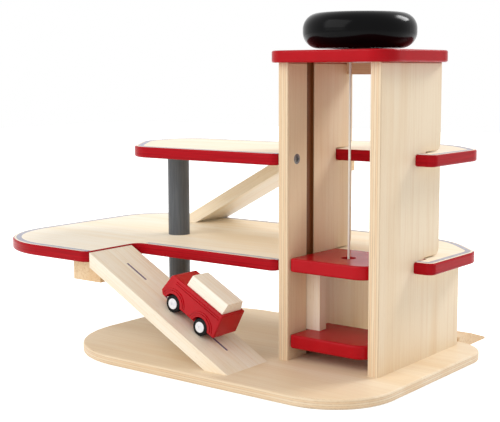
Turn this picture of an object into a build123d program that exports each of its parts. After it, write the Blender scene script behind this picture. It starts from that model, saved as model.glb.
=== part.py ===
"""Toy parking garage with a hand-cranked lift, two decks, two ramps and a toy truck.

Millimetres, +Z up. Everything is drawn from the tower's front left foot: X runs to the
right, Y to the back and Z up from the top of the base plate. At the end it all moves so
that the origin lies under the middle of the base plate.
"""
from build123d import *
from math import cos, radians, sin, sqrt, tan
import os

# Board thicknesses
base_t = 10.0
panel_t = 12.0
deck_t = 12.0
roof_t = 12.0
ramp_t = 14.0
car_plate_t = 14.0
edge_r = 2.0                 # round-over along the edges of the boards
panel_edge_r = 1.5

# Tower
shaft_w = 95.0
tower_h = 302.5
tower_depth = 120.0          # above the middle deck
foot_depth = 166.0           # below the middle deck
rail_h = 12.0
rail_t = 12.0
panel_corner_r = 8.0         # rear corners above each deck slot
slot_gap = 1.0               # free height above a deck in its slot
slot_end_gap = 0.5
groove_y = 40.0              # middle of the lift's guide grooves
groove_w = 13.4
groove_d = 3.0

# Base plate, measured from the tower
base_left = 246.0
base_right = 34.0
base_front = 97.0
base_back = 13.0
base_left_r = 100.0
base_front_right_r = 70.0
base_back_right_r = 40.0

# Storeys
mid_floor = 104.0
upper_floor = 212.0
deck_front = 6.0             # in front of the tower's face
deck_right = 21.0            # beyond the tower's right face
deck_back = 225.0            # from the tower's face
shaft_open = 89.0            # depth of the shaft in front of the decks
shelf_front = 67.0           # front of the decks' right hand shelf
deck_big_r = 100.0
deck_cut_x = 60.0            # the back right corner slopes over this much of the back
deck_cut_y = 60.0            # and this much of the right side
deck_cut_r = 30.0
deck_corner_r = 8.0
deck_gap = 0.1               # between a deck and a panel's outer face
mid_left = 373.0
mid_back_left_r = 70.0
mid_arm_front = 85.0
mid_notch = 191.5            # from the tower to the notch of the lower ramp
upper_left = 258.0
upper_cut_x = 62.0           # its front left corner slopes over this much of the front
upper_cut_y = 84.0           # and this much of the left side
upper_cut_r = 40.0
upper_left_r = 60.0
upper_back_left_r = 40.0
upper_notch = 80.0           # from the tower to the notch of the upper ramp
notch_r = 10.0               # outer corner beside a ramp

# Roof
roof_side = 12.0
roof_front = 12.0
roof_back = 8.0
roof_corner_r = 26.0

# Posts
post_d = 25.0
post_x = 199.0               # left of the tower
post_y = 74.0
post_dowel_d = 8.0
post_dowel_depth = 16.0

# Ramps
ramp_angle = 28.5
ramp_w = 65.0
ramp_drop = 1.5              # the ramp's top end lies this much below the deck
lower_ramp_gap = 9.0         # beside a ramp, between it and the deck's edge
upper_ramp_gap = 4.0
block_l = 41.0
block_w = 45.0
block_h = 23.0
block_out = 6.0              # the block reaches this far under the ramp
ramp_dowel_d = 5.0
ramp_dowel_up = 4.0          # above the deck's underside
ramp_dowel_in = 10.0         # depth in the deck
ramp_dowel_out = 6.0         # depth in the ramp
ramp_dowel_inset = 16.0      # from the ramp's sides

# Entry ramp at the back of the base plate
entry_rise = 3.5             # its crest above the base plate
entry_l = 67.0
entry_crest = 30.0
entry_nose = 2.0
entry_side = 6.0             # inwards from the tower's outer faces
entry_back_r = 6.0
entry_crest_r = 12.0
entry_gap = 0.1
entry_dowel_d = 6.0
entry_dowel_l = 20.0
entry_dowel_inset = 24.0

# Lift car
car_gap = 0.7                # to the shaft's walls
car_front = 2.5
car_depth = 84.0
car_rest = 13.0              # the car hangs this far above the base plate
car_room = 65.0              # free height between its plates
car_corner_r = 20.0
car_near_r = 3.0
car_bevel_l = 16.5           # slope at the back of the lift's floor
car_bevel_lip = 2.0
guide_w = 18.5
guide_t = 12.0
guide_gap = 0.8              # from the guide's tongue to the groove's bottom
car_dowel_d = 6.0
car_dowel_l = 18.0

# Cord
cord_d = 2.5
cord_hole_d = 5.0
cord_bend_r = 4.0
car_dish_d = 15.0
car_dish_depth = 4.0
car_hole_d = 3.4
knot_room_d = 12.0
knot_room_depth = 5.5
knot_d = 7.5

# Turning knob and its cord drum
knob_y = 57.0
knob_d = 114.0
knob_h = 35.0
knob_lift = 2.0              # height of the washer under the drum
knob_run_gap = 0.1
knob_crown_d = 76.0
knob_dish_d = 68.0
knob_dish_depth = 4.0
knob_hollow_d = 56.0
knob_hollow_h = 20.0
knob_side_r = 16.0
knob_dish_r = 5.0
knob_mouth_r = 1.0
drum_d = 28.0
drum_flange_d = 44.0
drum_flange_t = 3.0
drum_round = 0.5
winding_h = 8.0
winding_up = 0.5             # its lower end above the drum's foot
winding_gap = 0.2            # between the cord's end and the winding
winding_round = 1.0
axle_d = 8.0
axle_gap = 0.05
axle_head_d = 16.0
axle_head_h = 3.0
axle_tip_r = 0.5
washer_d = 22.0
washer_round = 0.4
nut_d = 14.0
nut_h = 5.0
nut_room_d = 19.0
nut_room_h = 1.0             # free height under and over the nut
cap_d = 26.0
cap_h = 3.0
cap_round = 1.4

# Wood screws
screw_d = 4.0
screw_head_d = 10.5
screw_head_h = 3.2
screw_gap = 0.05
screw_cross_w = 1.6
screw_cross_l = 6.5
screw_cross_depth = 1.4
deck_screw_l = 30.0
deck_screw_y = 16.0
base_screw_l = 28.0
base_screw_inset = 24.0
foot_screw_l = 17.0
foot_screw_back = 20.0       # from the toe of a ramp
block_screw_l = 30.0
block_screw_inset = 11.0
roof_dowel_d = 8.0
roof_dowel_l = 20.0
roof_dowel_up = 7.0          # its length in the roof
roof_dowel_inset = 22.0

# Toy truck, measured along the ramp from its toe
truck_tail = 41.0
truck_aside = 1.5            # towards the back from the middle of the ramp
truck_l = 80.5
truck_w = 37.0
truck_belly = 10.5
truck_top = 37.5
truck_nose_n = 15.0
truck_nose_back = 3.5
truck_screen = 5.5
truck_bed_l = 52.0
truck_wall = 3.2
truck_tail_wall = 3.7
truck_bed_floor = 24.0
truck_edge_r = 1.6
truck_tail_lean = 0.5
truck_tail_top_r = 1.0
truck_roof_r = 4.0
truck_low_r = 2.0
cargo_gap = 0.2
cargo_top = 48.5
cargo_bevel = 3.0
cargo_edge_r = 1.0
cargo_side_up = 0.5          # its upright sides rise this far above the truck's rim
wheel_d = 18.6
wheel_w = 8.0
wheel_inset = 1.5
wheel_round = 1.6
wheelbase = 41.0
rear_overhang = 20.5
roll_gap = 0.2
hub_d = 11.4
hub_proud = 0.5
hub_dimple_d = 4.0
hub_round = 0.8
wheel_axle_d = 3.0
wheel_axle_gap = 0.06
well_d = 22.0
well_gap = 1.0
hub_gap = 0.3                # between a hub and the chassis
chassis_clear = 4.4
chassis_end = 6.0
arch_step = 2.4
arch_w = 1.2
arch_proud = 0.7
arch_foot = 3.0              # lower ends of the ribs above the belly
bead_down = 4.5              # below the rim
beads = 2
bead_past = 14.0             # beyond the load bed, towards the nose

# Levels and places that follow
tower_w = 2 * panel_t + shaft_w
shaft_right = panel_t + shaft_w
shaft_mid = tower_w / 2
roof_top = tower_h + roof_t
mid_under = mid_floor - deck_t
upper_under = upper_floor - deck_t
car_floor = car_rest + car_plate_t
car_ceiling = car_floor + car_room
slope = tan(radians(ramp_angle))
ramp_plumb = ramp_t / cos(radians(ramp_angle))
washer_top = roof_top + knob_lift
drum_foot = washer_top + knob_run_gap
winding_r = (drum_d + cord_d) / 2
lower_ramp_front = -deck_front - lower_ramp_gap - ramp_w
upper_ramp_front = deck_back - ramp_w
upper_wing_back = upper_ramp_front - upper_ramp_gap
origin_shift = (
    (base_left - tower_w - base_right) / 2,
    (base_front - foot_depth - base_back) / 2,
    base_t,
)

nodes = {}


def outline(corners):
    """Closed face from (x, y, radius) corners."""
    points = [(x, y) for x, y, r in corners]
    radii = [r for x, y, r in corners]
    return make_face(FilletPolyline(*points, radius=radii, close=True))


def board(corners, low, thickness, rounding):
    """Flat board with its underside at height low and rounded long edges."""
    solid = Pos(0, 0, low) * extrude(outline(corners), amount=thickness)
    faces = solid.faces().sort_by(Axis.Z)
    return fillet(faces[0].edges() + faces[-1].edges(), rounding)


def upright(corners, left, thickness):
    """Board standing across X, drawn by its (y, z) corners."""
    return Pos(left, 0, 0) * extrude(Plane.YZ * outline(corners), amount=thickness)


def lengthwise(corners, front, width):
    """Board drawn by its (x, z) corners and reaching back from front."""
    return Pos(0, front, 0) * extrude(Plane.XZ * outline(corners), amount=-width)


def brick(low, high):
    """Rectangular block between two opposite corners."""
    size = [b - a for a, b in zip(low, high)]
    return Pos(*low) * Box(*size, align=(Align.MIN, Align.MIN, Align.MIN))


def rod(diameter, length, place):
    """Cylinder that starts at place and runs along the place's Z."""
    cylinder = Cylinder(diameter / 2, length, align=(Align.CENTER, Align.CENTER, Align.MIN))
    return place * cylinder


def turned(points, place):
    """Solid of revolution about the place's Z, from (radius, height) corners."""
    return place * revolve(Plane.XZ * outline(points), axis=Axis.Z)


def screw_body(length, extra):
    """Countersunk screw, head at the origin and shank along +Z, grown by extra."""
    shank = screw_d / 2 + extra
    head = screw_head_d / 2 + extra
    profile = [
        (0, 0, 0),
        (head, 0, 0),
        (shank, screw_head_h, 0),
        (shank, length + extra, 0),
        (0, length + extra, 0),
    ]
    return turned(profile, Pos(0, 0, 0))


def wood_screw(length):
    """Screw with a cross recess in its head."""
    slot = (screw_cross_l, screw_cross_w, 2 * screw_cross_depth)
    cross = Box(*slot) + Rot(0, 0, 90) * Box(*slot)
    return screw_body(length, 0) - cross


def drill(names, cutter):
    """Take the cutter out of each named board."""
    for name in names:
        nodes[name] = nodes[name] - cutter


def drive(group, names, length, places):
    """Put a group of equal screws at the places and drill the boards for them."""
    nodes[group] = [place * wood_screw(length) for place in places]
    for place in places:
        drill(names, place * screw_body(length, screw_gap))


def peg(group, names, diameter, length, places):
    """Put a group of equal dowels at the places and drill the boards for them."""
    nodes[group] = [rod(diameter, length, place) for place in places]
    for place in places:
        hole = place * Pos(0, 0, -screw_gap)
        drill(names, rod(diameter + 2 * screw_gap, length + 2 * screw_gap, hole))


# ---------------------------------------------------------------- base plate and tower
def make_base():
    right = tower_w + base_right
    back = foot_depth + base_back
    corners = [
        (-base_left, -base_front, base_left_r),
        (right, -base_front, base_front_right_r),
        (right, back, base_back_right_r),
        (-base_left, back, base_left_r),
    ]
    nodes["base_plate"] = board(corners, -base_t, base_t, edge_r)


def make_entry_ramp():
    start = foot_depth + base_back + entry_gap
    side = [
        (start, -base_t, 0),
        (start, entry_rise, entry_back_r),
        (start + entry_crest, entry_rise, entry_crest_r),
        (start + entry_l, entry_nose - base_t, 0),
        (start + entry_l, -base_t, 0),
    ]
    nodes["entry_ramp"] = upright(side, entry_side, tower_w - 2 * entry_side)
    level = -base_t / 2
    places = [
        Pos(x, start - entry_dowel_l / 2, level) * Rot(-90, 0, 0)
        for x in (entry_dowel_inset, tower_w - entry_dowel_inset)
    ]
    peg("entry_ramp_dowels", ["base_plate", "entry_ramp"], entry_dowel_d, entry_dowel_l, places)


def panel_outline():
    slot_end = shaft_open - slot_end_gap
    return [
        (0, 0, 0),
        (foot_depth, 0, 0),
        (foot_depth, mid_under, edge_r),
        (slot_end, mid_under, edge_r),
        (slot_end, mid_floor + slot_gap, edge_r),
        (tower_depth, mid_floor + slot_gap, panel_corner_r),
        (tower_depth, upper_under, edge_r),
        (slot_end, upper_under, edge_r),
        (slot_end, upper_floor + slot_gap, edge_r),
        (tower_depth, upper_floor + slot_gap, panel_corner_r),
        (tower_depth, tower_h, 0),
        (0, tower_h, 0),
    ]


def make_panel(left, groove_left):
    panel = upright(panel_outline(), left, panel_t)
    sides = panel.faces().filter_by(Plane.YZ)
    rims = [edge for edge in sides.edges() if edge.center().Z > edge_r]
    panel = fillet(rims, panel_edge_r)
    low = (groove_left, groove_y - groove_w / 2, -edge_r)
    high = (groove_left + groove_d, groove_y + groove_w / 2, tower_h + edge_r)
    return panel - brick(low, high)


def make_tower():
    nodes["left_side_panel"] = make_panel(0, panel_t - groove_d)
    nodes["right_side_panel"] = make_panel(shaft_right, shaft_right)
    nodes["top_rail"] = brick(
        (panel_t, tower_depth - rail_t, tower_h - rail_h), (shaft_right, tower_depth, tower_h)
    )
    roof = [
        (-roof_side, -roof_front, roof_corner_r),
        (tower_w + roof_side, -roof_front, roof_corner_r),
        (tower_w + roof_side, tower_depth + roof_back, roof_corner_r),
        (-roof_side, tower_depth + roof_back, roof_corner_r),
    ]
    nodes["roof_plate"] = board(roof, tower_h, roof_t, edge_r)


# ------------------------------------------------------------------------------- decks
def deck_right_side():
    """Corners that both decks share: right hand shelf and shaft opening."""
    right = tower_w + deck_right
    return [
        (right - deck_cut_x, deck_back, deck_big_r),
        (right, deck_back - deck_cut_y, deck_cut_r),
        (right, shelf_front, deck_corner_r),
        (tower_w + deck_gap, shelf_front, 0),
        (tower_w + deck_gap, shaft_open, 0),
        (-deck_gap, shaft_open, 0),
        (-deck_gap, -deck_front, deck_corner_r),
    ]


def make_decks():
    mid = deck_right_side() + [
        (-mid_notch, -deck_front, lower_ramp_gap),
        (-mid_notch, -mid_arm_front, notch_r),
        (-mid_left, -mid_arm_front, deck_big_r),
        (-mid_left, deck_back, mid_back_left_r),
    ]
    upper = deck_right_side() + [
        (upper_cut_x - upper_left, -deck_front, upper_cut_r),
        (-upper_left, upper_cut_y - deck_front, upper_left_r),
        (-upper_left, upper_wing_back, upper_back_left_r),
        (-upper_notch, upper_wing_back, upper_ramp_gap),
        (-upper_notch, deck_back, notch_r),
    ]
    nodes["mid_deck"] = board(mid, mid_under, deck_t, edge_r)
    nodes["upper_deck"] = board(upper, upper_under, deck_t, edge_r)


def make_posts():
    axis = Pos(-post_x, post_y, 0)
    nodes["lower_post"] = rod(post_d, mid_under, axis)
    nodes["upper_post"] = rod(post_d, upper_under - mid_floor, axis * Pos(0, 0, mid_floor))
    joint_l = 2 * post_dowel_depth
    boards = ["lower_post", "mid_deck", "upper_post"]
    peg("mid_post_dowel", boards, post_dowel_d, joint_l + deck_t,
        [axis * Pos(0, 0, mid_under - post_dowel_depth)])
    peg("upper_post_dowel", ["upper_post", "upper_deck"], post_dowel_d,
        post_dowel_depth + deck_t / 2, [axis * Pos(0, 0, upper_under - post_dowel_depth)])


# ------------------------------------------------------------------------------- ramps
def ramp_run(rise):
    return (rise - ramp_drop) / slope


def make_ramp(top_x, front, floor, rise):
    """Ramp that climbs to the left or right of top_x by the sign of its run."""
    run = ramp_run(rise)
    toe = top_x + run
    end_top = floor + rise - ramp_drop
    foot = ramp_plumb / slope
    side = [
        (toe, floor, 0),
        (top_x, end_top, 0),
        (top_x, end_top - ramp_plumb, 0),
        (toe - foot, floor, 0),
    ]
    return lengthwise(side, front, ramp_w)


def make_block(top_x, front, under):
    """Block under a deck; its corner is cut to let the ramp's underside rest on it."""
    end_under = under + deck_t - ramp_drop - ramp_plumb
    out = top_x + block_out
    side = [
        (out - block_l, under - block_h, 0),
        (out, under - block_h, 0),
        (out, end_under - block_out * slope, 0),
        (top_x, end_under, 0),
        (top_x, under, 0),
        (out - block_l, under, 0),
    ]
    return lengthwise(side, front + (ramp_w - block_w) / 2, block_w)


def mirror_across(solid, x):
    """Mirror image of a solid in the upright plane at x."""
    return mirror(solid, about=Plane.YZ.offset(x))


def make_ramps():
    nodes["lower_ramp"] = make_ramp(-mid_notch, lower_ramp_front, 0, mid_floor)
    nodes["lower_ramp_block"] = make_block(-mid_notch, lower_ramp_front, mid_under)
    climb = upper_floor - mid_floor
    nodes["upper_ramp"] = mirror_across(
        make_ramp(-upper_notch, upper_ramp_front, mid_floor, climb), -upper_notch
    )
    nodes["upper_ramp_block"] = mirror_across(
        make_block(-upper_notch, upper_ramp_front, upper_under), -upper_notch
    )
    lower_y = lower_ramp_front + ramp_w / 2
    upper_y = upper_ramp_front + ramp_w / 2
    reach = ramp_w / 2 - ramp_dowel_inset
    length = ramp_dowel_in + ramp_dowel_out
    for group, names, start, y, under in (
        ("lower_ramp_dowels", ["lower_ramp", "mid_deck"],
         -mid_notch - ramp_dowel_in, lower_y, mid_under),
        ("upper_ramp_dowels", ["upper_ramp", "upper_deck"],
         -upper_notch - ramp_dowel_out, upper_y, upper_under),
    ):
        level = under + ramp_dowel_up
        places = [Pos(start, y + dy, level) * Rot(0, 90, 0) for dy in (-reach, reach)]
        peg(group, names, ramp_dowel_d, length, places)


# ------------------------------------------------------------------ screws and dowels
def make_fasteners():
    panel_mids = (panel_t / 2, shaft_right + panel_t / 2)
    panels = ["left_side_panel", "right_side_panel"]
    under_panels = [
        Pos(x, y, -base_t)
        for x in panel_mids
        for y in (base_screw_inset, foot_depth - base_screw_inset)
    ]
    under_post = Pos(-post_x, post_y, -base_t)
    drive("base_screws", ["base_plate", "lower_post"] + panels, base_screw_l,
          under_panels + [under_post])
    facing_left = Rot(0, -90, 0)
    drive("deck_screws", ["left_side_panel", "mid_deck", "upper_deck"], deck_screw_l, [
        Pos(panel_t, deck_screw_y, under + deck_t / 2) * facing_left
        for under in (mid_under, upper_under)
    ])
    lower_toe = -mid_notch + ramp_run(mid_floor)
    upper_toe = -upper_notch - ramp_run(upper_floor - mid_floor)
    lower_y = lower_ramp_front + ramp_w / 2
    upper_y = upper_ramp_front + ramp_w / 2
    drive("ramp_foot_screws", ["base_plate", "mid_deck", "lower_ramp", "upper_ramp"],
          foot_screw_l, [
              Pos(lower_toe - foot_screw_back, lower_y, -base_t),
              Pos(upper_toe + foot_screw_back, upper_y, mid_under),
          ])
    lower_block_x = -mid_notch + block_out - block_l / 2
    upper_block_x = -upper_notch - block_out + block_l / 2
    places = []
    for x, y, under in ((lower_block_x, lower_y, mid_under), (upper_block_x, upper_y, upper_under)):
        for dy in (-block_screw_inset, block_screw_inset):
            places.append(Pos(x, y + dy, under - block_h))
    drive("block_screws", ["lower_ramp_block", "upper_ramp_block", "mid_deck", "upper_deck"],
          block_screw_l, places)
    peg("roof_dowels", ["roof_plate"] + panels, roof_dowel_d, roof_dowel_l, [
        Pos(x, y, tower_h + roof_dowel_up - roof_dowel_l)
        for x in panel_mids
        for y in (roof_dowel_inset, tower_depth - roof_dowel_inset)
    ])


# ------------------------------------------------------------------------ turning knob
def make_knob():
    axis = Pos(shaft_mid, knob_y, 0)
    foot = axis * Pos(0, 0, drum_foot)
    bore_r = axle_d / 2 + axle_gap
    hollow_r = knob_hollow_d / 2
    dish = knob_h - knob_dish_depth
    seat = dish - nut_h - nut_room_h
    body = [
        (hollow_r, 0, knob_mouth_r),
        (knob_d / 2, 0, knob_side_r),
        (knob_d / 2, knob_h, knob_side_r),
        (knob_crown_d / 2, knob_h, knob_dish_r),
        (knob_dish_d / 2, dish, knob_dish_r),
        (nut_room_d / 2, dish, 0),
        (nut_room_d / 2, seat, 0),
        (bore_r, seat, 0),
        (bore_r, knob_hollow_h, 0),
        (hollow_r, knob_hollow_h, knob_mouth_r),
    ]
    nodes["knob"] = turned(body, foot)
    drum = [
        (bore_r, 0, 0),
        (drum_d / 2, 0, drum_round),
        (drum_d / 2, knob_hollow_h - drum_flange_t, 0),
        (drum_flange_d / 2, knob_hollow_h - drum_flange_t, drum_round),
        (drum_flange_d / 2, knob_hollow_h, 0),
        (bore_r, knob_hollow_h, 0),
    ]
    nodes["cord_drum"] = turned(drum, foot)
    winding = [
        (drum_d / 2, winding_up, 0),
        (drum_d / 2 + cord_d, winding_up, winding_round),
        (drum_d / 2 + cord_d, winding_up + winding_h, winding_round),
        (drum_d / 2, winding_up + winding_h, 0),
    ]
    nodes["cord_winding"] = turned(winding, foot)
    washer = [
        (bore_r, roof_top, 0),
        (washer_d / 2, roof_top, 0),
        (washer_d / 2, washer_top, washer_round),
        (bore_r, washer_top, 0),
    ]
    nodes["drum_washer"] = turned(washer, axis)
    nut_low = drum_foot + seat + knob_run_gap
    bolt = [
        (0, tower_h, 0),
        (axle_head_d / 2, tower_h, 0),
        (axle_head_d / 2, tower_h + axle_head_h, 0),
        (axle_d / 2, tower_h + axle_head_h, 0),
        (axle_d / 2, nut_low + nut_h, axle_tip_r),
        (0, nut_low + nut_h, 0),
    ]
    nodes["knob_axle"] = turned(bolt, axis)
    drill(["roof_plate"], rod(axle_head_d + 2 * screw_gap, axle_head_h, axis * Pos(0, 0, tower_h)))
    drill(["roof_plate"], rod(axle_d + 2 * screw_gap, roof_t, axis * Pos(0, 0, tower_h)))
    hexagon = extrude(RegularPolygon(nut_d / 2, 6), amount=nut_h)
    nut = hexagon - rod(axle_d + 2 * screw_gap, nut_h, Pos(0, 0, 0))
    nodes["axle_nut"] = axis * Pos(0, 0, nut_low) * nut
    cap = [
        (0, dish, 0),
        (cap_d / 2, dish, 0),
        (cap_d / 2, dish + cap_h, cap_round),
        (0, dish + cap_h, 0),
    ]
    nodes["hub_cap"] = turned(cap, foot)


def make_cord():
    """Cord from the drum, over a bend in the roof's hole and down to its knot."""
    lead = knob_y - groove_y
    straight = sqrt(lead ** 2 - winding_r ** 2)
    off_x = winding_r * straight / lead
    off_y = lead - winding_r ** 2 / lead
    level = drum_foot + winding_up + cord_d / 2
    knot_top = car_ceiling + knot_room_depth
    top_end = (shaft_mid + off_x, groove_y + off_y, level)
    corner = (shaft_mid, groove_y, level)
    low_end = (shaft_mid, groove_y, knot_top)
    path = FilletPolyline(top_end, corner, low_end, radius=[cord_bend_r])
    start = Plane(origin=path @ 0, z_dir=path % 0)
    nodes["lift_cord"] = sweep(start * Circle(cord_d / 2), path=path)
    nodes["cord_knot"] = Pos(shaft_mid, groove_y, knot_top - knot_d / 2) * Sphere(knot_d / 2)
    flat = brick(
        (shaft_mid - knot_d, groove_y - knot_d, knot_top - cord_d / 2),
        (shaft_mid + knot_d, groove_y + knot_d, knot_top + knot_d),
    )
    nodes["cord_knot"] = nodes["cord_knot"] - flat
    nodes["lift_cord"] = nodes["lift_cord"] + rod(
        cord_d, cord_d / 2, Pos(shaft_mid, groove_y, knot_top - cord_d / 2)
    )
    wound_r = drum_d / 2 + cord_d + winding_gap
    wound = rod(2 * wound_r, winding_h, Pos(shaft_mid, knob_y, drum_foot))
    drill(["lift_cord"], wound)
    drill(["roof_plate"], rod(cord_hole_d, roof_t, Pos(shaft_mid, groove_y, tower_h)))


# ---------------------------------------------------------------------------- lift car
def car_plate(low):
    left = panel_t + car_gap
    right = shaft_right - car_gap
    back = car_front + car_depth
    corners = [
        (left, car_front, car_near_r),
        (right, car_front, car_corner_r),
        (right, back, car_near_r),
        (left, back, car_near_r),
    ]
    return board(corners, low, car_plate_t, edge_r)


def make_car():
    back = car_front + car_depth
    bevel = [
        (back - car_bevel_l, car_floor, 0),
        (back, car_rest + car_bevel_lip, 0),
        (back + car_bevel_l, car_rest + car_bevel_lip, 0),
        (back + car_bevel_l, car_floor, 0),
    ]
    nodes["car_floor_plate"] = car_plate(car_rest) - upright(bevel, 0, tower_w)
    nodes["car_top_plate"] = car_plate(car_ceiling)
    front = groove_y - guide_t / 2
    tongue = groove_d - guide_gap
    left = panel_t - tongue
    right = shaft_right + tongue
    nodes["car_left_guide"] = brick(
        (left, front, car_floor), (left + guide_w, front + guide_t, car_ceiling)
    )
    nodes["car_right_guide"] = brick(
        (right - guide_w, front, car_floor), (right, front + guide_t, car_ceiling)
    )
    plates = ["car_floor_plate", "car_top_plate", "car_left_guide", "car_right_guide"]
    middle = (tongue + car_gap + guide_w) / 2 - tongue
    peg("car_dowels", plates, car_dowel_d, car_dowel_l, [
        Pos(x, groove_y, z - car_dowel_l / 2)
        for x in (panel_t + middle, shaft_right - middle)
        for z in (car_floor, car_ceiling)
    ])
    hole = Pos(shaft_mid, groove_y, 0)
    top = car_ceiling + car_plate_t
    drill(["car_top_plate"], rod(car_dish_d, car_dish_depth, hole * Pos(0, 0, top - car_dish_depth)))
    drill(["car_top_plate"], rod(car_hole_d, car_plate_t, hole * Pos(0, 0, car_ceiling)))
    drill(["car_top_plate"], rod(knot_room_d, knot_room_depth, hole * Pos(0, 0, car_ceiling)))


# --------------------------------------------------------------------------- toy truck
def on_ramp(solid):
    """Place a truck piece: its X runs up the ramp and its Z stands on the ramp."""
    toe = -mid_notch + ramp_run(mid_floor)
    middle = lower_ramp_front + ramp_w / 2 + truck_aside
    angle = radians(ramp_angle)
    seat = Plane(
        origin=(toe, middle, 0), x_dir=(-cos(angle), 0, sin(angle)), z_dir=(sin(angle), 0, cos(angle))
    )
    return seat.location * Pos(truck_tail, 0, 0) * solid


def truck_profile():
    return [
        (0, truck_belly, truck_low_r),
        (truck_tail_lean, truck_top, truck_tail_top_r),
        (truck_l - truck_screen, truck_top, truck_roof_r),
        (truck_l, truck_nose_n, truck_low_r),
        (truck_l - truck_nose_back, truck_belly, truck_low_r),
    ]


def across(diameter, width, s, n):
    """Cylinder that lies across the truck, centred on its middle."""
    return Pos(s, 0, n) * Rot(90, 0, 0) * Cylinder(diameter / 2, width)


def wheel_places():
    centre = wheel_d / 2 + roll_gap
    return {"rear": (rear_overhang, centre), "front": (rear_overhang + wheelbase, centre)}


def bead_levels():
    """Lower edges of the beads along the flanks, from the top one down."""
    return [truck_top - bead_down - arch_step * bead for bead in range(beads)]


def arch_ribs(s, n):
    """Two raised ribs over a wheel, on both flanks."""
    ribs = None
    for step in (1, 2):
        inner = well_d + 2 * step * arch_step
        width = truck_w + 2 * arch_proud
        ring = across(inner + 2 * arch_w, width, s, n) - across(inner, width, s, n)
        ribs = ring if ribs is None else ribs + ring
    low = truck_belly + arch_foot
    return ribs & brick((s - well_d, -truck_w, low), (s + well_d, truck_w, bead_levels()[-1]))


def make_truck_body():
    flank = lengthwise(truck_profile(), -truck_w / 2, truck_w)
    flank_edges = flank.faces().filter_by(Plane.XZ).edges()
    rims = [edge for edge in flank_edges if edge.center().Z > truck_belly + truck_edge_r]
    body = fillet(rims, truck_edge_r)
    for s, n in wheel_places().values():
        body = body + arch_ribs(s, n)
    for level in bead_levels():
        body = body + brick(
            (truck_wall, -truck_w / 2 - arch_proud, level),
            (truck_bed_l + bead_past, truck_w / 2 + arch_proud, level + arch_w),
        )
    bed_half = truck_w / 2 - truck_wall
    bed_low = (truck_tail_wall, -bed_half, truck_bed_floor)
    bed_high = (truck_tail_wall + truck_bed_l, bed_half, 2 * truck_top)
    body = body - brick(bed_low, bed_high)
    inner = truck_w / 2 - wheel_inset - wheel_w - well_gap
    for s, n in wheel_places().values():
        well = across(well_d, 2 * truck_w, s, n) - across(well_d, 2 * inner, s, n)
        body = body - well
    return body


def make_cargo():
    half = truck_w / 2 - truck_wall - cargo_gap
    floor = truck_bed_floor
    section = [
        (-half, floor, 0),
        (half, floor, 0),
        (half, truck_top + cargo_side_up, 0),
        (half - cargo_bevel, cargo_top, cargo_edge_r),
        (-half + cargo_bevel, cargo_top, cargo_edge_r),
        (-half, truck_top + cargo_side_up, 0),
    ]
    start = truck_tail_wall + cargo_gap
    return upright(section, start, truck_bed_l - 2 * cargo_gap)


def wheel_ring(inner_d, outer_d, width, rounding):
    half = width / 2
    section = [
        (inner_d / 2, -half, 0),
        (outer_d / 2, -half, rounding),
        (outer_d / 2, half, rounding),
        (inner_d / 2, half, 0),
    ]
    return turned(section, Pos(0, 0, 0))


def make_wheelset(name, s, n):
    middle = truck_w / 2 - wheel_inset - wheel_w / 2
    bearing_d = wheel_axle_d + 2 * wheel_axle_gap
    drill(["truck_chassis", "truck_body"], on_ramp(across(bearing_d, truck_w, s, n)))
    axle_l = 2 * middle + wheel_w - 2 * wheel_inset
    nodes[name + "_axle"] = on_ramp(across(wheel_axle_d, axle_l, s, n))
    tyre = wheel_ring(hub_d, wheel_d, wheel_w, wheel_round)
    hub_w = wheel_w + 2 * hub_proud
    hub = wheel_ring(wheel_axle_d, hub_d, hub_w, hub_round)
    hub = hub + Pos(0, 0, hub_w / 2 - wheel_inset) * Cylinder(hub_dimple_d / 2, wheel_inset)
    for side, sign in (("right", 1), ("left", -1)):
        turn = Rot(-90, 0, 0) if sign > 0 else Rot(90, 0, 0)
        place = Pos(s, sign * middle, n) * turn
        nodes[f"{name}_{side}_tyre"] = on_ramp(place * tyre)
        nodes[f"{name}_{side}_hub"] = on_ramp(place * hub) - nodes[name + "_axle"]


def make_truck():
    nodes["truck_body"] = on_ramp(make_truck_body())
    nodes["cargo_block"] = on_ramp(make_cargo())
    half = truck_w / 2 - wheel_inset - wheel_w - hub_proud - hub_gap
    nodes["truck_chassis"] = on_ramp(brick(
        (chassis_end, -half, chassis_clear), (truck_l - chassis_end, half, truck_belly)
    ))
    for name, (s, n) in wheel_places().items():
        make_wheelset(name, s, n)


make_base()
make_tower()
make_decks()
make_entry_ramp()
make_posts()
make_ramps()
make_fasteners()
make_knob()
make_car()
make_cord()
make_truck()

os.makedirs("parts", exist_ok=True)
for name, shape in nodes.items():
    pieces = shape if isinstance(shape, list) else [shape]
    solids = [solid for piece in pieces for solid in piece.solids()]
    placed = [Pos(*origin_shift) * solid for solid in solids]
    export_step(Compound(children=placed) if len(placed) > 1 else placed[0], f"parts/{name}.step")
    print(name, len(solids))
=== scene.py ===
"""Looks of a toy parking garage with a lift: camera, light, finishes, painted lines and cord."""
from math import cos, pi, radians, sin, tan

import bpy
from mathutils import Matrix, Vector


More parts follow.
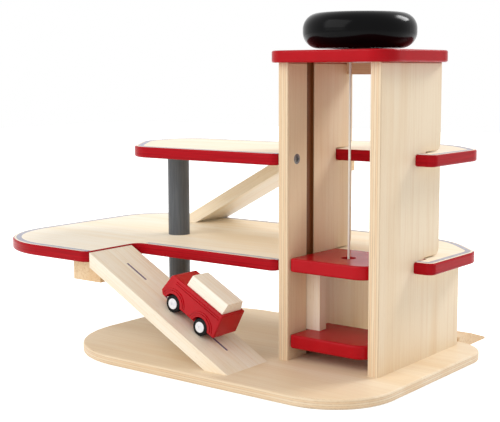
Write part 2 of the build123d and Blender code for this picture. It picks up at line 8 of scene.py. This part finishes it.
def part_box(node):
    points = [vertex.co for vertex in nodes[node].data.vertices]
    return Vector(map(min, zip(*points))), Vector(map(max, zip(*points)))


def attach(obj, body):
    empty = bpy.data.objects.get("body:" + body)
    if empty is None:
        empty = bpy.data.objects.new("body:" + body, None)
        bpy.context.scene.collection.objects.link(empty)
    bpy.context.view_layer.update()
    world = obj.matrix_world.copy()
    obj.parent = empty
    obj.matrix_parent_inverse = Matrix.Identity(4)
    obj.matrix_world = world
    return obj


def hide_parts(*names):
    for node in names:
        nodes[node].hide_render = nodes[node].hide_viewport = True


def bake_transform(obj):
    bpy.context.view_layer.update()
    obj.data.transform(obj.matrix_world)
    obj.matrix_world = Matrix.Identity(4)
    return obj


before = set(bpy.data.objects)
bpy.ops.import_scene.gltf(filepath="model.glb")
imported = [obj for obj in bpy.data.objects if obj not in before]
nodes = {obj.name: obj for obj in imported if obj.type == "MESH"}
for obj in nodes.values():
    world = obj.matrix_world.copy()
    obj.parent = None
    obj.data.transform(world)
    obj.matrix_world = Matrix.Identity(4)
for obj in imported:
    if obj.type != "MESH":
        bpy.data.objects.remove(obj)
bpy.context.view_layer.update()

# Camera, in metres and degrees
CAMERA_PLACE = (0.69588, -0.92802, 0.30395)
CAMERA_DOWN = 7.26
CAMERA_TURN = 38.005
CAMERA_ROLL = -0.228
CAMERA_LENS = 78.72
CAMERA_SHIFT = (0.0119, -0.0003)

# Light
AIM = (0.0, 0.0, 0.15)
KEY = {"place": (0.62, 1.15, 1.25), "size": 0.55, "watts": 14.5}
FILL = {"place": (-0.55, -1.75, 1.25), "size": 1.8, "watts": 23.0}
SKY = 0.66
FLOOR_LIFT = 0.75           # glow of the floor where it is seen as background
FLOOR_REACH = 4.0
FLOOR_DOWN = 0.0003         # the floor lies this far below the base plate

# Boards
RAMP_ANGLE = 28.5
PLY_LAYERS = 5
GROOVE_W = 0.0134
GROOVE_D = 0.003

# Textures: repeats per metre, along and across the fibres where there are two
BROAD_GRAIN = (2.2, 26)
FINE_GRAIN = (11, 420)
PORES = (95, 1500)
PLY_WANDER = (9, 9)
GLUE_PATCHES = (38, 600)
LACQUER_CLOUDS = 22
LACQUER_PEEL = 420
EDGE_RIPPLE = (14, 14, 900)
POST_STROKES = (520, 520, 26)
STEEL_SCRATCHES = (900, 3000, 900)
TYRE_SPECKLE = 700
HUB_SPECKLE = 260
COTTON_FUZZ = 2600
LINE_WEAR = 160
FLOOR_CLOUDS = 3

# Heights of the reliefs
GRAIN_RELIEF = 0.00006
PEEL_RELIEF = 0.000003
EDGE_RELIEF = 0.00005
STROKE_RELIEF = 0.00004
SCRATCH_RELIEF = 0.00002
TYRE_RELIEF = 0.00004
HUB_RELIEF = 0.00002
COTTON_RELIEF = 0.00025
LINE_RELIEF = 0.00002

# Lines painted on the decks, along the corners of the decks, and dashes on the ramps
LINE_INSET = 0.004
LINE_W = 0.006
LINE_UP = 0.00006
LINE_DOWN = 0.0002
ARC_STEPS = 24
BIG_R = 0.100
CORNER_R = 0.008
CUT = 0.060                 # slope of the decks' back right corner
CUT_R = 0.030
MID_BACK_LEFT_R = 0.070
UPPER_CUT_X = 0.062         # slope of the upper deck's front left corner
UPPER_CUT_Y = 0.084
UPPER_CUT_R = 0.040
UPPER_LEFT_R = 0.060
UPPER_BACK_LEFT_R = 0.040
LINE_END_GAP = 0.0025
ARM_GAP = 0.009             # between the lower ramp and the middle deck
WING_GAP = 0.004            # between the upper ramp and the upper deck
DECK_RIGHT_SHELF = 0.067
DECK_FRONT = 0.006
DASH_START = 0.0297
DASH_L = 0.031
DASH_PITCH = 0.063
DASH_W = 0.0023
DASHES = 3

# Lift cord
CORD_D = 0.0025
CORD_SIDES = 14
CORD_STEP = 0.003
CORD_BEND_R = 0.004
CORD_STRANDS = 4
CORD_PICK = 0.0021          # height of one crossing of its strands


def srgb(text):
    """Linear colour from a hex triplet."""
    parts = [int(text[i:i + 2], 16) / 255 for i in (0, 2, 4)]
    linear = [p / 12.92 if p <= 0.04045 else ((p + 0.055) / 1.055) ** 2.4 for p in parts]
    return (*linear, 1.0)


# ---------------------------------------------------------------------------- camera
def make_camera():
    data = bpy.data.cameras.new("camera")
    camera = bpy.data.objects.new("camera", data)
    bpy.context.scene.collection.objects.link(camera)
    turn = Matrix.Rotation(radians(CAMERA_TURN), 4, "Z")
    tilt = Matrix.Rotation(radians(90 - CAMERA_DOWN), 4, "X")
    roll = Matrix.Rotation(radians(CAMERA_ROLL), 4, "Z")
    camera.matrix_world = Matrix.Translation(CAMERA_PLACE) @ turn @ tilt @ roll
    data.lens = CAMERA_LENS
    data.shift_x, data.shift_y = CAMERA_SHIFT
    bpy.context.scene.camera = camera


# ---------------------------------------------------------------------- shader helpers
class Finish:
    """A Principled material and short ways to add nodes to it."""

    def __init__(self, name, **numbers):
        self.material = bpy.data.materials.new(name)
        self.material.use_nodes = True
        self.tree = self.material.node_tree
        self.surface = self.tree.nodes["Principled BSDF"]
        self.object_place = self.tree.nodes.new("ShaderNodeTexCoord").outputs["Object"]
        for key, value in numbers.items():
            self.put(self.surface.inputs[key.replace("_", " ")], value)

    def put(self, socket, value):
        if isinstance(value, bpy.types.NodeSocket):
            self.tree.links.new(value, socket)
        else:
            socket.default_value = value

    def math(self, operation, *values):
        node = self.tree.nodes.new("ShaderNodeMath")
        node.operation = operation
        for socket, value in zip(node.inputs, values):
            self.put(socket, value)
        return node.outputs[0]

    def turned(self, vector, angle, scale):
        """Coordinates turned about Y by an angle in degrees and then scaled."""
        node = self.tree.nodes.new("ShaderNodeMapping")
        node.vector_type = "POINT"
        self.put(node.inputs["Vector"], vector)
        node.inputs["Rotation"].default_value = (0, radians(angle), 0)
        stretch = self.tree.nodes.new("ShaderNodeVectorMath")
        stretch.operation = "MULTIPLY"
        self.put(stretch.inputs[0], node.outputs[0])
        stretch.inputs[1].default_value = scale
        return stretch.outputs[0]

    def noise(self, vector, detail=3.0, distortion=0.0):
        """Cloudy value about 0.5, one cloud to each unit of the coordinates."""
        node = self.tree.nodes.new("ShaderNodeTexNoise")
        self.put(node.inputs["Vector"], vector)
        node.inputs["Scale"].default_value = 1.0
        node.inputs["Detail"].default_value = detail
        node.inputs["Distortion"].default_value = distortion
        return node.outputs["Fac"]

    def fade(self, value, start, end, low=0.0, high=1.0):
        """Smooth step from low at start to high at end."""
        node = self.tree.nodes.new("ShaderNodeMapRange")
        node.interpolation_type = "SMOOTHSTEP"
        for socket, number in zip(node.inputs, (value, start, end, low, high)):
            self.put(socket, number)
        return node.outputs["Result"]

    def blend(self, share, first, second):
        node = self.tree.nodes.new("ShaderNodeMix")
        node.data_type = "RGBA"
        self.put(node.inputs["Factor"], share)
        self.put(node.inputs["A"], first)
        self.put(node.inputs["B"], second)
        return node.outputs["Result"]

    def axis(self, vector, letter):
        node = self.tree.nodes.new("ShaderNodeSeparateXYZ")
        self.put(node.inputs[0], vector)
        return node.outputs["XYZ".index(letter)]

    def facing(self, letter):
        """How squarely the surface faces along an axis, from 0 to 1."""
        normal = self.tree.nodes.new("ShaderNodeNewGeometry").outputs["True Normal"]
        return self.math("ABSOLUTE", self.axis(normal, letter))

    def colour(self, value):
        self.put(self.surface.inputs["Base Color"], value)

    def rough(self, value):
        self.put(self.surface.inputs["Roughness"], value)

    def relief(self, height, depth):
        """Bump of a height map from 0 to 1, depth in metres."""
        node = self.tree.nodes.new("ShaderNodeBump")
        node.inputs["Strength"].default_value = 1.0
        node.inputs["Distance"].default_value = depth
        self.put(node.inputs["Height"], height)
        self.put(self.surface.inputs["Normal"], node.outputs[0])


# ------------------------------------------------------------------------- finishes
def grain_scale(along, lengthwise, crosswise):
    """Stretch of a texture that runs along one axis."""
    return tuple(lengthwise if letter == along else crosswise for letter in "XYZ")


def wood_colour(finish, tones, along, angle=0.0, contrast=1.0):
    """Base tone with broad bands, fine grain and short pores. Returns colour and height."""
    light, middle, dark, pore = (srgb(tone) for tone in tones)
    place = finish.object_place
    broad = finish.noise(finish.turned(place, angle, grain_scale(along, *BROAD_GRAIN)), 2.0, 0.6)
    fine = finish.noise(finish.turned(place, angle, grain_scale(along, *FINE_GRAIN)), 4.0, 0.3)
    flecks = finish.noise(finish.turned(place, angle, grain_scale(along, *PORES)), 2.0)
    base = finish.blend(finish.fade(broad, 0.36, 0.66), light, middle)
    streak = finish.fade(fine, 0.42, 0.74, 0.0, 0.55 * contrast)
    grained = finish.blend(streak, base, dark)
    spots = finish.fade(flecks, 0.64, 0.74, 0.0, 0.35 * contrast)
    return finish.blend(spots, grained, pore), finish.math("SUBTRACT", fine, spots)


def ply_edge(finish, colour, letter, low, thickness, layers, run):
    """Layers of plywood on the edges of a board that is thin along an axis, by its letter."""
    depth = finish.axis(finish.object_place, letter)
    wander = finish.noise(finish.turned(finish.object_place, 0, grain_scale(run, *PLY_WANDER)), 2.0)
    level = finish.math("MULTIPLY", finish.math("SUBTRACT", depth, low), layers / thickness)
    level = finish.math("ADD", level, finish.math("MULTIPLY", wander, 0.22))
    across = finish.math("FRACT", level)
    glue = finish.fade(finish.math("ABSOLUTE", finish.math("SUBTRACT", across, 0.5)), 0.40, 0.49)
    patchy = finish.noise(finish.turned(finish.object_place, 0, grain_scale(run, *GLUE_PATCHES)), 3.0)
    glue = finish.math("MULTIPLY", glue, finish.fade(patchy, 0.30, 0.62, 0.25, 0.8))
    odd = finish.math("FLOORED_MODULO", finish.math("FLOOR", level), 2.0)
    layered = finish.blend(finish.math("MULTIPLY", odd, 0.35), colour, srgb("E0B88A"))
    layered = finish.blend(glue, layered, srgb("9A7350"))
    edge = finish.fade(finish.facing(letter), 0.75, 0.93, 1.0, 0.0)
    return finish.blend(edge, colour, layered)


PALE_WOOD = ("FBF2E1", "F8EAD2", "EED7B3", "D0AC80")
PANEL_WOOD = ("F0DEC2", "E9D1AF", "DBB98F", "BA8C5E")
BLOCK_WOOD = ("EDD2AC", "E4C194", "D0A272", "A27046")


def painted_groove_shade(finish, colour, face, inwards, middle):
    """Painted shade: dark brown on the walls and floor of a guide groove that is cut into an upright
    face, where shade falls in the recess.
    """
    depth = finish.math("SUBTRACT", finish.axis(finish.object_place, "X"), face)
    depth = finish.math("MULTIPLY", depth, inwards)
    aside = finish.math("SUBTRACT", finish.axis(finish.object_place, "Y"), middle)
    inside = finish.fade(finish.math("ABSOLUTE", aside), GROOVE_W / 2, GROOVE_W / 2 + 0.0002, 1.0, 0.0)
    deep = finish.math("MULTIPLY", finish.fade(depth, 0.0002, 0.0012),
                       finish.fade(depth, GROOVE_D + 0.001, GROOVE_D + 0.002, 1.0, 0.0))
    # painted shade: the recess inside the groove turns dark brown
    return finish.blend(finish.math("MULTIPLY", inside, deep), colour, srgb("7A4A22"))


def wood(name, tones, along, angle=0.0, contrast=1.0, ply=None, groove=None):
    finish = Finish(name, Specular_IOR_Level=0.3)
    colour, height = wood_colour(finish, tones, along, angle, contrast)
    if ply:
        colour = ply_edge(finish, colour, *ply)
    # paint shade into the guide groove, when its place is given
    if groove:
        colour = painted_groove_shade(finish, colour, *groove)
    finish.colour(colour)
    finish.rough(finish.fade(height, -0.2, 0.7, 0.60, 0.42))
    finish.relief(height, GRAIN_RELIEF)
    return finish.material


LACQUER_RED = ("B5101B", "A90D17")


def lacquer(name, tones, shine=0.20, specular=0.1):
    """Sprayed lacquer: slight unevenness of tone and gloss over the wood beneath."""
    finish = Finish(name, Specular_IOR_Level=specular)
    place = finish.object_place
    cloud = finish.noise(finish.turned(place, 0, (LACQUER_CLOUDS,) * 3), 3.0)
    peel = finish.noise(finish.turned(place, 0, (LACQUER_PEEL,) * 3), 2.0)
    finish.colour(finish.blend(finish.fade(cloud, 0.35, 0.68), srgb(tones[0]), srgb(tones[1])))
    finish.rough(finish.fade(cloud, 0.3, 0.7, shine, shine + 0.06))
    finish.relief(peel, PEEL_RELIEF)
    return finish.material


def deck_finish(name, low, thickness):
    """Natural wood on the flat faces and red lacquer on the edges."""
    finish = Finish(name, Specular_IOR_Level=0.06)
    natural, height = wood_colour(finish, PALE_WOOD, "X", 0.0, 0.7)
    depth = finish.axis(finish.object_place, "Z")
    level = finish.math("MULTIPLY", finish.math("SUBTRACT", depth, low), PLY_LAYERS / thickness)
    ripple = finish.noise(finish.turned(finish.object_place, 0, EDGE_RIPPLE), 3.0)
    ridge = finish.fade(finish.math("PINGPONG", level, 0.5), 0.0, 0.16)
    paint = finish.blend(finish.fade(ripple, 0.35, 0.7), srgb("B2121D"), srgb("9E0D18"))
    paint = finish.blend(finish.math("MULTIPLY", finish.math("SUBTRACT", 1.0, ridge), 0.22),
                         paint, srgb("7E0A14"))
    flat = finish.fade(finish.facing("Z"), 0.975, 0.995)
    finish.colour(finish.blend(flat, paint, natural))
    finish.rough(finish.fade(flat, 0.0, 1.0, 0.24, 0.48))
    finish.relief(finish.blend(flat, ripple, height), EDGE_RELIEF)
    return finish.material


def satin_paint(name, tone, darker):
    """Painted round post: faint strokes along it."""
    finish = Finish(name, Specular_IOR_Level=0.3)
    strokes = finish.noise(finish.turned(finish.object_place, 0, POST_STROKES), 3.0)
    finish.colour(finish.blend(finish.fade(strokes, 0.3, 0.7), srgb(tone), srgb(darker)))
    finish.rough(finish.fade(strokes, 0.3, 0.7, 0.34, 0.5))
    finish.relief(strokes, STROKE_RELIEF)
    return finish.material


def steel(name):
    finish = Finish(name, Metallic=1.0)
    scratches = finish.noise(finish.turned(finish.object_place, 0, STEEL_SCRATCHES), 3.0)
    finish.colour(finish.blend(finish.fade(scratches, 0.3, 0.7), srgb("8E8C8A"), srgb("5C5A58")))
    finish.rough(finish.fade(scratches, 0.3, 0.7, 0.22, 0.42))
    finish.relief(scratches, SCRATCH_RELIEF)
    return finish.material


def moulded(name, tone, darker, roughness, grain, depth):
    """Moulded plastic or rubber with a fine grained surface."""
    finish = Finish(name, Specular_IOR_Level=0.2)
    speckle = finish.noise(finish.turned(finish.object_place, 0, (grain,) * 3), 3.0)
    finish.colour(finish.blend(finish.fade(speckle, 0.3, 0.7), srgb(tone), srgb(darker)))
    finish.rough(finish.fade(speckle, 0.3, 0.7, roughness, roughness + 0.12))
    finish.relief(speckle, depth)
    return finish.material


def braid(name, centre):
    """Cotton cord: crossed strands wound round an upright line, with painted shade in the creases
    between the strands.
    """
    finish = Finish(name, Sheen_Weight=0.3)
    place = finish.object_place
    x = finish.math("SUBTRACT", finish.axis(place, "X"), centre[0])
    y = finish.math("SUBTRACT", finish.axis(place, "Y"), centre[1])
    turn = finish.math("MULTIPLY", finish.math("ARCTAN2", y, x), CORD_STRANDS / 2)
    climb = finish.math("MULTIPLY", finish.axis(place, "Z"), pi / CORD_PICK)
    left = finish.math("SINE", finish.math("ADD", climb, turn))
    right = finish.math("SINE", finish.math("SUBTRACT", climb, turn))
    strands = finish.math("ABSOLUTE", finish.math("MULTIPLY", left, right))
    fuzz = finish.noise(finish.turned(place, 0, (COTTON_FUZZ,) * 3), 2.0)
    # painted shade: darker colour in the creases between strands, paler on their crowns
    finish.colour(finish.blend(finish.fade(strands, 0.0, 0.35), srgb("C9C0B2"), srgb("F5F1E8")))
    finish.rough(finish.fade(fuzz, 0.3, 0.7, 0.75, 0.95))
    finish.relief(finish.math("ADD", strands, finish.math("MULTIPLY", fuzz, 0.4)), COTTON_RELIEF)
    return finish.material


def line_paint(name, tone, darker):
    finish = Finish(name)
    wear = finish.noise(finish.turned(finish.object_place, 0, (LINE_WEAR,) * 3), 4.0)
    finish.colour(finish.blend(finish.fade(wear, 0.3, 0.75), srgb(tone), srgb(darker)))
    finish.rough(finish.fade(wear, 0.3, 0.7, 0.45, 0.6))
    finish.relief(wear, LINE_RELIEF)
    return finish.material


def dress(material, *names):
    """Give CAD nodes one material."""
    for name in names:
        mesh = nodes[name].data
        mesh.materials.clear()
        mesh.materials.append(material)


def dress_all():
    base_low, base_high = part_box("base_plate")
    base_ply = ("Z", base_low.z, base_high.z - base_low.z, PLY_LAYERS, "X")
    dress(wood("base_birch", PANEL_WOOD, "X", 0.0, 0.6, base_ply), "base_plate")
    guide_low, guide_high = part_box("car_left_guide")
    guide_y = (guide_low.y + guide_high.y) / 2
    for side, inwards in (("left_side_panel", -1), ("right_side_panel", 1)):
        low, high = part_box(side)
        ply = ("X", low.x, high.x - low.x, PLY_LAYERS, "Z")
        # place of the painted groove shade: the face, the way inwards and the groove's middle
        groove = (high.x if inwards < 0 else low.x, inwards, guide_y)
        dress(wood(side + "_birch", PANEL_WOOD, "Z", 0.0, 0.55, ply, groove), side)
    dress(wood("cross_rail_birch", BLOCK_WOOD, "X"), "top_rail", "entry_ramp")
    dress(wood("lower_ramp_birch", PALE_WOOD, "X", -RAMP_ANGLE), "lower_ramp")
    dress(wood("upper_ramp_birch", PALE_WOOD, "X", RAMP_ANGLE), "upper_ramp")
    dress(wood("block_birch", BLOCK_WOOD, "Y"), "lower_ramp_block", "upper_ramp_block")
    dress(wood("guide_birch", PALE_WOOD, "Z"), "car_left_guide", "car_right_guide")
    dress(wood("cargo_birch", PALE_WOOD, "X", -RAMP_ANGLE), "cargo_block")
    dress(wood("peg_beech", BLOCK_WOOD, "X"), "entry_ramp_dowels", "lower_ramp_dowels",
          "upper_ramp_dowels")
    dress(wood("pin_beech", BLOCK_WOOD, "Z"), "mid_post_dowel", "upper_post_dowel",
          "roof_dowels", "car_dowels", "cord_drum")
    for deck in ("mid_deck", "upper_deck"):
        low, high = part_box(deck)
        dress(deck_finish(deck + "_red_edged", low.z, high.z - low.z), deck)
    dress(lacquer("red_lacquer", LACQUER_RED), "roof_plate", "car_top_plate", "car_floor_plate")
    dress(lacquer("truck_red", ("BE0C19", "AE0915"), 0.16, 0.18), "truck_body", "truck_chassis")
    dress(lacquer("knob_black", ("070708", "040405"), 0.15, 0.09), "knob", "hub_cap")
    dress(satin_paint("post_grey", "5C6065", "515459"), "lower_post", "upper_post")
    dress(steel("bright_steel"), "base_screws", "deck_screws", "ramp_foot_screws", "block_screws",
          "knob_axle", "drum_washer", "axle_nut", "front_axle", "rear_axle")
    tyre = moulded("tyre_rubber", "101012", "09090B", 0.5, TYRE_SPECKLE, TYRE_RELIEF)
    hub = moulded("hub_white", "F4F4F6", "E4E5EA", 0.32, HUB_SPECKLE, HUB_RELIEF)
    for axle in ("front", "rear"):
        for side in ("left", "right"):
            dress(tyre, f"{axle}_{side}_tyre")
            dress(hub, f"{axle}_{side}_hub")


# --------------------------------------------------------------------- painted lines
def solid_mesh(name, points, faces, material, body):
    """Mesh object that rides on a body."""
    mesh = bpy.data.meshes.new(name)
    mesh.from_pydata(points, [], faces)
    mesh.update()
    mesh.materials.append(material)
    piece = bpy.data.objects.new(name, mesh)
    bpy.context.scene.collection.objects.link(piece)
    if body:
        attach(piece, body)
    return piece


def inset(corners, distance):
    """Open path of (x, y, radius) corners that turns to the right, moved inwards."""
    sides = []
    for (ax, ay, _), (bx, by, _) in zip(corners, corners[1:]):
        run = Vector((bx - ax, by - ay)).normalized()
        sides.append(Vector((run.y, -run.x)))
    moved = []
    for (x, y, r), before, after in zip(corners, sides[:1] + sides, sides + sides[-1:]):
        shift = (before + after) * distance / (1 + before.dot(after))
        moved.append((x + shift.x, y + shift.y, max(r - distance, 0)))
    return moved


def rounded(corners):
    """Points of an open path from (x, y, radius) corners, with as many on every arc."""
    points = [Vector(corners[0][:2])]
    for before, (x, y, r), after in zip(corners, corners[1:], corners[2:]):
        corner = Vector((x, y))
        back = (Vector(before[:2]) - corner).normalized()
        ahead = (Vector(after[:2]) - corner).normalized()
        half = back.angle(ahead) / 2
        centre = corner + (back + ahead).normalized() * r / sin(half)
        start = corner + back * r / tan(half) - centre
        end = corner + ahead * r / tan(half) - centre
        turn = start.angle_signed(end, 0.0)
        for step in range(ARC_STEPS + 1):
            points.append(centre + Matrix.Rotation(-turn * step / ARC_STEPS, 2) @ start)
    points.append(Vector(corners[-1][:2]))
    return points


def ribbon(name, outer, inner, top, material):
    """Thin painted strip between two equally long rows of points on a deck."""
    points = [(x, y, top + LINE_UP) for x, y in outer + inner]
    points += [(x, y, top - LINE_DOWN) for x, y in outer + inner]
    count = len(outer)
    under = 2 * count
    faces = []
    for i in range(count - 1):
        a, b = i, i + 1
        c, d = count + i + 1, count + i
        faces.append((a, b, c, d))
        faces.append((under + d, under + c, under + b, under + a))
        faces.append((a, under + a, under + b, b))
        faces.append((c, under + c, under + d, d))
    last = count - 1
    faces.append((0, count, under + count, under))
    faces.append((last, under + last, under + count + last, count + last))
    return solid_mesh(name, points, faces, material, "garage")


def deck_lines(paint):
    tower_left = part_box("left_side_panel")[0].x
    tower_right, tower_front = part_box("right_side_panel")[1].x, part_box("left_side_panel")[0].y
    shelf = tower_front + DECK_RIGHT_SHELF
    front = tower_front - DECK_FRONT
    ramp_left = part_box("lower_ramp")[0].x
    low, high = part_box("mid_deck")
    wing_low, wing_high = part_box("upper_ramp")
    wing_back = wing_low.y - WING_GAP
    upper_low, upper_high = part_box("upper_deck")
    right_side = [
        (high.x - CUT, high.y, BIG_R),
        (high.x, high.y - CUT, CUT_R),
        (high.x, shelf, CORNER_R),
        (tower_right, shelf, 0),
    ]
    mid_loop = [
        (ramp_left - LINE_END_GAP, low.y, 0),
        (low.x, low.y, BIG_R),
        (low.x, high.y, MID_BACK_LEFT_R),
    ]
    upper_loop = [
        (tower_left, front, 0),
        (upper_low.x + UPPER_CUT_X, front, UPPER_CUT_R),
        (upper_low.x, front + UPPER_CUT_Y, UPPER_LEFT_R),
        (upper_low.x, wing_back, UPPER_BACK_LEFT_R),
        (wing_high.x - WING_GAP, wing_back, 0),
    ]
    strips = {
        "mid_deck_line": (mid_loop + right_side, high.z),
        "mid_deck_front_line": ([(tower_left, front, 0), (ramp_left + ARM_GAP, front, 0)], high.z),
        "upper_deck_line": (upper_loop, upper_high.z),
        "upper_deck_back_line": (
            [(wing_high.x + LINE_END_GAP, high.y, 0)] + right_side, upper_high.z),
    }
    for name, (corners, top) in strips.items():
        outer, inner = (rounded(inset(corners, i)) for i in (LINE_INSET, LINE_INSET + LINE_W))
        ribbon(name, outer, inner, top, paint)


def ramp_dashes(name, toe, top, middle, paint):
    """Row of dashes up a ramp; toe and top are (x, z) of its surface."""
    run = Vector((top[0] - toe[0], 0, top[1] - toe[1])).normalized()
    up = Vector((-run.z, 0, run.x))
    if up.z < 0:
        up = -up
    side = Vector((0, DASH_W / 2, 0))
    points, faces = [], []
    for dash in range(DASHES):
        start = Vector((toe[0], middle, toe[1])) + run * (DASH_START + dash * DASH_PITCH)
        end = start + run * DASH_L
        first = len(points)
        for level in (-LINE_DOWN, LINE_UP):
            for spot in (start - side, end - side, end + side, start + side):
                points.append(spot + up * level)
        for quad in ((0, 3, 2, 1), (4, 5, 6, 7), (0, 1, 5, 4), (1, 2, 6, 5), (2, 3, 7, 6),
                     (3, 0, 4, 7)):
            faces.append([first + k for k in (quad if run.x > 0 else quad[::-1])])
    solid_mesh(name, points, faces, paint, "garage")


def make_lines():
    deck_lines(line_paint("lavender_line", "B4B3C0", "A6A5B2"))
    dash_paint = line_paint("dash_line", "6E5C80", "5F4F72")
    low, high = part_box("lower_ramp")
    ramp_dashes("lower_ramp_dashes", (high.x, low.z), (low.x, high.z), (low.y + high.y) / 2, dash_paint)
    low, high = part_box("upper_ramp")
    ramp_dashes("upper_ramp_dashes", (low.x, low.z), (high.x, high.z), (low.y + high.y) / 2, dash_paint)


# ---------------------------------------------------------------------------- cord
def make_cord():
    """Cord from the drum, round the roof's hole and down into the lift's top plate."""
    low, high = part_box("lift_cord")
    level = high.z - CORD_D / 2
    x = low.x + CORD_D / 2
    groove_low, groove_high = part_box("car_left_guide")
    y = (groove_low.y + groove_high.y) / 2
    lead = Vector((high.x - x, high.y - CORD_D / 2 - y, 0))
    path = [Vector((x, y, level)) + lead]
    centre = Vector((x, y, level - CORD_BEND_R)) + lead.normalized() * CORD_BEND_R
    bend_steps = CORD_SIDES // 2
    for step in range(bend_steps + 1):
        angle = pi / 2 * step / bend_steps
        out = Vector((0, 0, cos(angle))) - lead.normalized() * sin(angle)
        path.append(centre + out * CORD_BEND_R)
    rows = int((path[-1].z - low.z) / CORD_STEP)
    top = path[-1].z
    for row in range(1, rows + 1):
        path.append(Vector((x, y, top + (low.z - top) * row / rows)))
    points, faces = [], []
    side = lead.normalized().cross(Vector((0, 0, 1)))
    for i, spot in enumerate(path):
        ahead = path[min(i + 1, len(path) - 1)] - path[max(i - 1, 0)]
        up = side.cross(ahead.normalized())
        for k in range(CORD_SIDES):
            angle = 2 * pi * k / CORD_SIDES
            points.append(spot + (side * cos(angle) + up * sin(angle)) * CORD_D / 2)
    for i in range(len(path) - 1):
        for k in range(CORD_SIDES):
            a, b = i * CORD_SIDES + k, i * CORD_SIDES + (k + 1) % CORD_SIDES
            faces.append((a, b, b + CORD_SIDES, a + CORD_SIDES))
    faces.append(list(range(CORD_SIDES))[::-1])
    faces.append([len(points) - CORD_SIDES + k for k in range(CORD_SIDES)])
    cotton = braid("cotton_braid", (x, y))
    cord = solid_mesh("lift_cord_braid", points, faces, cotton, None)
    for face in cord.data.polygons:
        face.use_smooth = len(face.vertices) == 4
    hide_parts("lift_cord")
    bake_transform(cord)
    dress(cotton, "cord_knot", "cord_winding")


# ---------------------------------------------------------------------------- studio
def lamp(name, place, size, watts):
    data = bpy.data.lights.new(name, "AREA")
    data.shape = "SQUARE"
    data.size = size
    data.energy = watts
    light = bpy.data.objects.new(name, data)
    bpy.context.scene.collection.objects.link(light)
    light.location = place
    light.rotation_euler = (Vector(AIM) - Vector(place)).to_track_quat("-Z", "Y").to_euler()


def seen_share(tree):
    """1 for rays that show the background: camera, mirror and glass rays."""
    path = tree.nodes.new("ShaderNodeLightPath")
    share = path.outputs["Is Camera Ray"]
    for name in ("Is Glossy Ray", "Is Transmission Ray"):
        larger = tree.nodes.new("ShaderNodeMath")
        larger.operation = "MAXIMUM"
        tree.links.new(share, larger.inputs[0])
        tree.links.new(path.outputs[name], larger.inputs[1])
        share = larger.outputs[0]
    return share


def make_world():
    world = bpy.data.worlds.new("studio")
    world.use_nodes = True
    bpy.context.scene.world = world
    tree = world.node_tree
    backdrop = tree.nodes["Background"]
    backdrop.inputs["Color"].default_value = (1, 1, 1, 1)
    strength = tree.nodes.new("ShaderNodeMapRange")
    tree.links.new(seen_share(tree), strength.inputs["Value"])
    strength.inputs["To Min"].default_value = SKY
    strength.inputs["To Max"].default_value = 1.0
    tree.links.new(strength.outputs["Result"], backdrop.inputs["Strength"])


def make_floor():
    """Pale floor that looks white to the camera and still takes the shadow."""
    finish = Finish("floor_white", Roughness=0.9)
    tint = finish.noise(finish.turned(finish.object_place, 0, (FLOOR_CLOUDS,) * 3), 2.0)
    finish.colour(finish.blend(tint, (0.80, 0.80, 0.80, 1), (0.82, 0.82, 0.82, 1)))
    finish.put(finish.surface.inputs["Emission Color"], (1, 1, 1, 1))
    glow = finish.math("MULTIPLY", seen_share(finish.tree), FLOOR_LIFT)
    finish.put(finish.surface.inputs["Emission Strength"], glow)
    mesh = bpy.data.meshes.new("floor")
    signs = ((-1, -1), (1, -1), (1, 1), (-1, 1))
    corners = [(x * FLOOR_REACH, y * FLOOR_REACH, -FLOOR_DOWN) for x, y in signs]
    mesh.from_pydata(corners, [], [(0, 1, 2, 3)])
    mesh.materials.append(finish.material)
    floor = bpy.data.objects.new("floor", mesh)
    bpy.context.scene.collection.objects.link(floor)


make_camera()
dress_all()
make_lines()
make_cord()
lamp("key_light", **KEY)
lamp("fill_light", **FILL)
make_world()
make_floor()

view = bpy.context.scene.view_settings
view.view_transform = "Standard"
